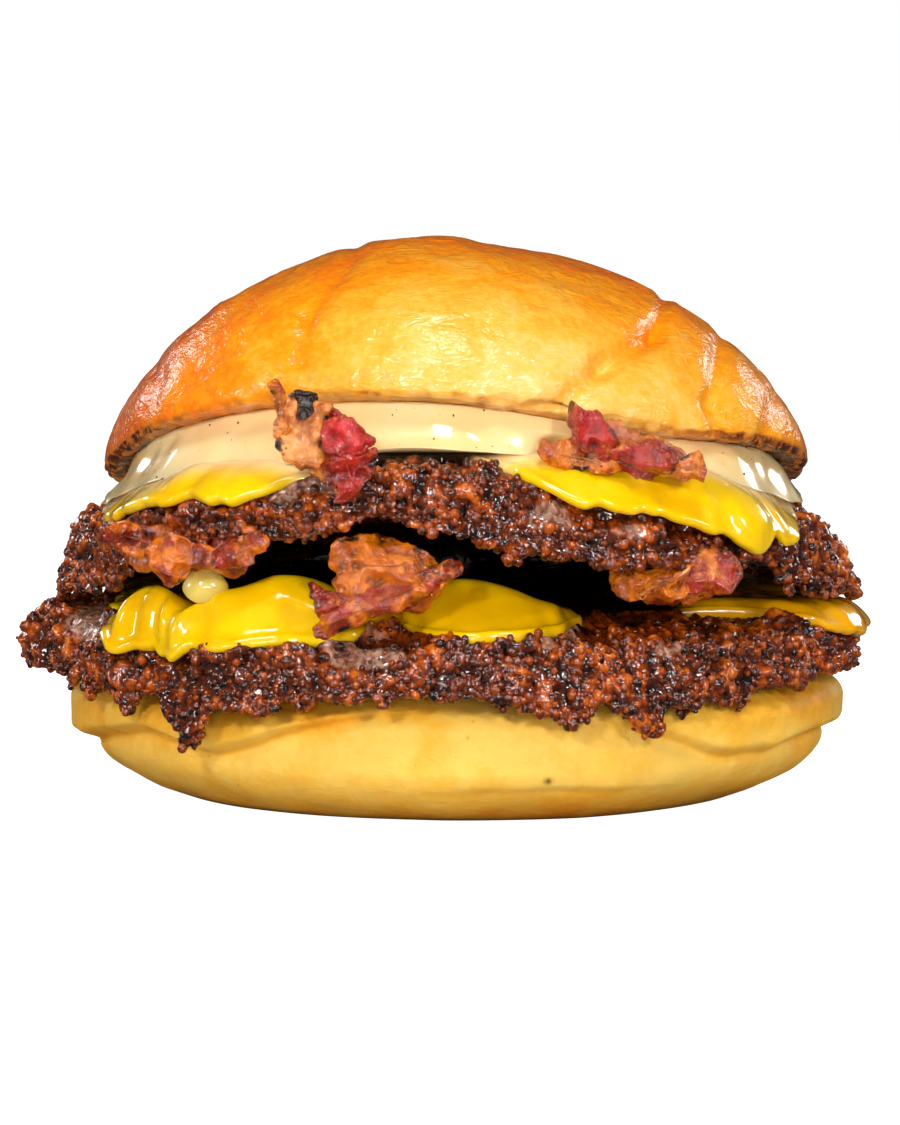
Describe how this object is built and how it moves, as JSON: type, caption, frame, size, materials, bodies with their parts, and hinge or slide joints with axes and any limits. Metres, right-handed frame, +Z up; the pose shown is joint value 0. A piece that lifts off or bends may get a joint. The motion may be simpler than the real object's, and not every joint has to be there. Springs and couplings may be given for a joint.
{
  "type": "double cheeseburger",
  "caption": "Stacked bun burger with two thin crusted patties, melted cheese slices, creamy sauce and crisp bacon, open at the front.",
  "frame": {"origin": "on the flat base, under the middle of the patties", "axes": "+Z up, -Y towards the front where the stack gapes open, +X to the right as seen from the front"},
  "size_m": [0.1222, 0.1159, 0.0789],
  "materials": {
    "crust": "shiny egg-washed crust, golden orange at the top and pale low down",
    "crumb": "soft satin bread crust, pale yellow with golden lips",
    "seared": "greasy dark seared crust with crags",
    "melted": "glossy melted cheese",
    "creamy": "glossy cream sauce with fine dark flecks",
    "cured": "crisp streaky bacon, red lean and golden fat",
    "pale": "soft translucent cooked onion"
  },
  "bodies": {
    "root": {"heel": "crumb", "lower_patty": "seared", "lower_cheese": "melted", "upper_patty": "seared", "upper_cheese": "melted", "sauce": "creamy", "crown": "crust", "bacon_upper_left": "cured", "bacon_upper_right": "cured", "bacon_middle_left": "cured", "bacon_middle": "cured", "bacon_middle_right": "cured", "bacon_back_left": "cured", "bacon_back_right": "cured", "onion": "pale"}
  },
  "joints": []
}
